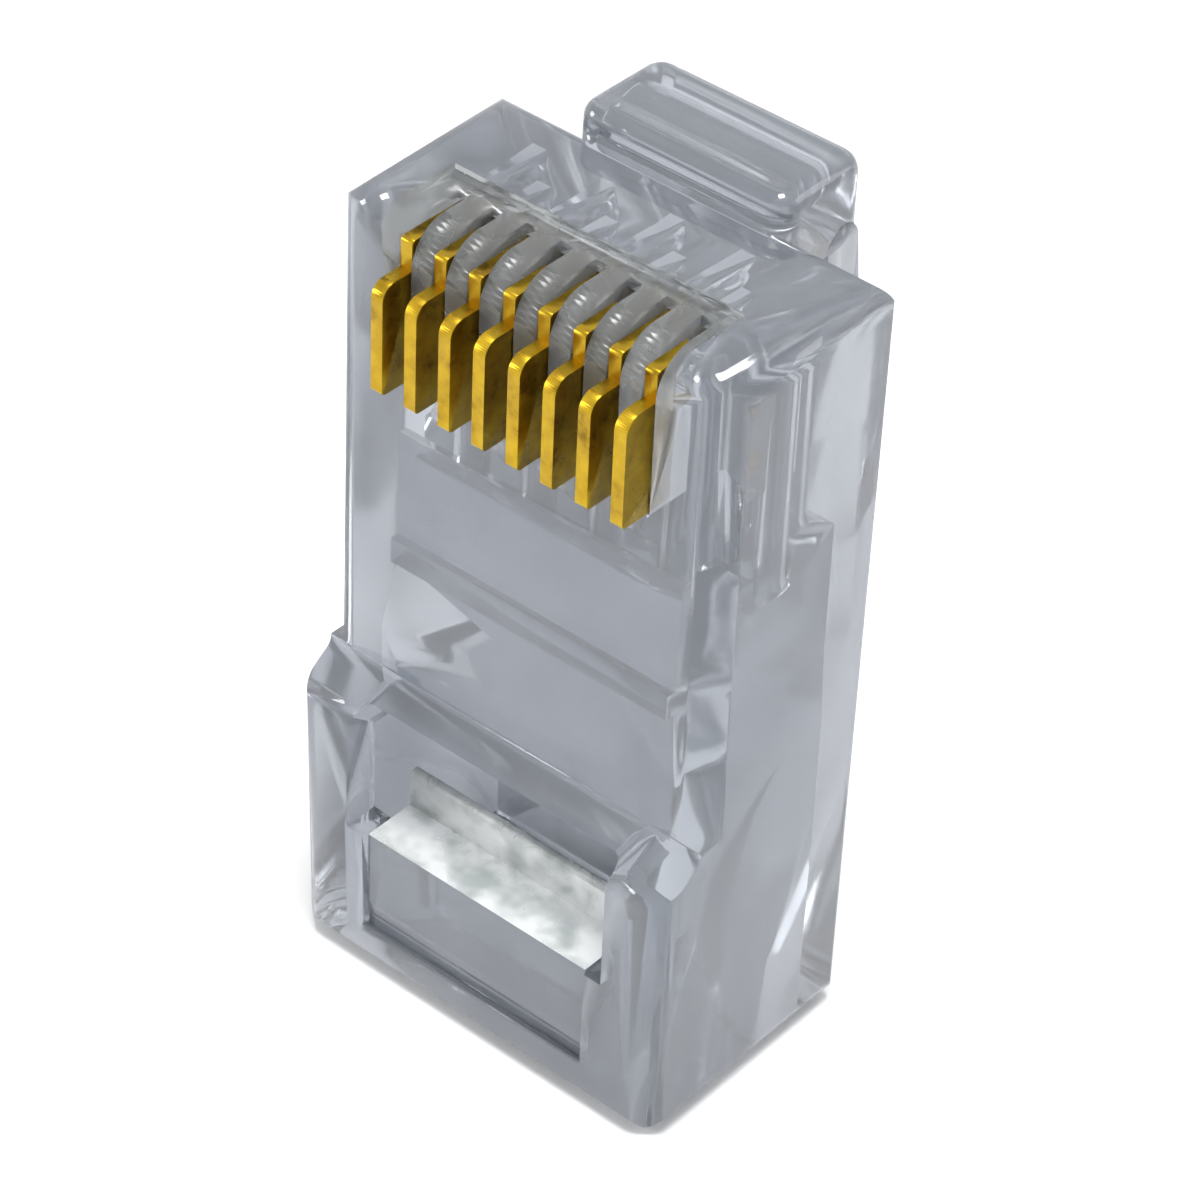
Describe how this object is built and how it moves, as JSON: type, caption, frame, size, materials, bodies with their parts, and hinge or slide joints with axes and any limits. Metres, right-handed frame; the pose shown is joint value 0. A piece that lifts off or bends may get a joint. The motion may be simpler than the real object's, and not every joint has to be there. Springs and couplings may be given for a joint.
{
  "type": "modular plug",
  "caption": "Clear modular data plug, uncrimped, with a comb of proud gold contacts, staggered conductor channels, a spring latch and a press-in strain-relief bar.",
  "frame": {"origin": "centre of the flat cable-end face, in the middle of the cable entry", "axes": "+X across the contacts, +Y towards the latch side, +Z towards the nose; the plug stands on its cable end"},
  "size_m": [0.0116, 0.011, 0.0228],
  "materials": {
    "clear_plastic": "clear polycarbonate, glossy",
    "gold_plate": "gold flash over stamped bronze"
  },
  "bodies": {
    "housing": {"housing": "clear_plastic"},
    "latch": {"latch": "clear_plastic"},
    "strain_relief_bar": {"strain_relief_bar": "clear_plastic"},
    "contact_1": {"contact_1": "gold_plate"},
    "contact_2": {"contact_2": "gold_plate"},
    "contact_3": {"contact_3": "gold_plate"},
    "contact_4": {"contact_4": "gold_plate"},
    "contact_5": {"contact_5": "gold_plate"},
    "contact_6": {"contact_6": "gold_plate"},
    "contact_7": {"contact_7": "gold_plate"},
    "contact_8": {"contact_8": "gold_plate"}
  },
  "joints": [
    {"name": "latch_flex", "type": "hinge", "parent": "housing", "child": "latch", "pos_m": [0, 0.0051, 0.0206], "axis": [-1, 0, 0], "range_deg": [0, 9], "stiffness_Nm_per_rad": 0.06},
    {"name": "bar_press", "type": "hinge", "parent": "housing", "child": "strain_relief_bar", "pos_m": [0, -0.00305, 0.00135], "axis": [-1, 0, 0], "range_deg": [0, 25]},
    {"name": "contact_1_crimp", "type": "slide", "parent": "housing", "child": "contact_1", "axis": [0, 1, 0], "range_m": [0, 0.0011]},
    {"name": "contact_2_crimp", "type": "slide", "parent": "housing", "child": "contact_2", "axis": [0, 1, 0], "range_m": [0, 0.0011]},
    {"name": "contact_3_crimp", "type": "slide", "parent": "housing", "child": "contact_3", "axis": [0, 1, 0], "range_m": [0, 0.0011]},
    {"name": "contact_4_crimp", "type": "slide", "parent": "housing", "child": "contact_4", "axis": [0, 1, 0], "range_m": [0, 0.0011]},
    {"name": "contact_5_crimp", "type": "slide", "parent": "housing", "child": "contact_5", "axis": [0, 1, 0], "range_m": [0, 0.0011]},
    {"name": "contact_6_crimp", "type": "slide", "parent": "housing", "child": "contact_6", "axis": [0, 1, 0], "range_m": [0, 0.0011]},
    {"name": "contact_7_crimp", "type": "slide", "parent": "housing", "child": "contact_7", "axis": [0, 1, 0], "range_m": [0, 0.0011]},
    {"name": "contact_8_crimp", "type": "slide", "parent": "housing", "child": "contact_8", "axis": [0, 1, 0], "range_m": [0, 0.0011]}
  ]
}
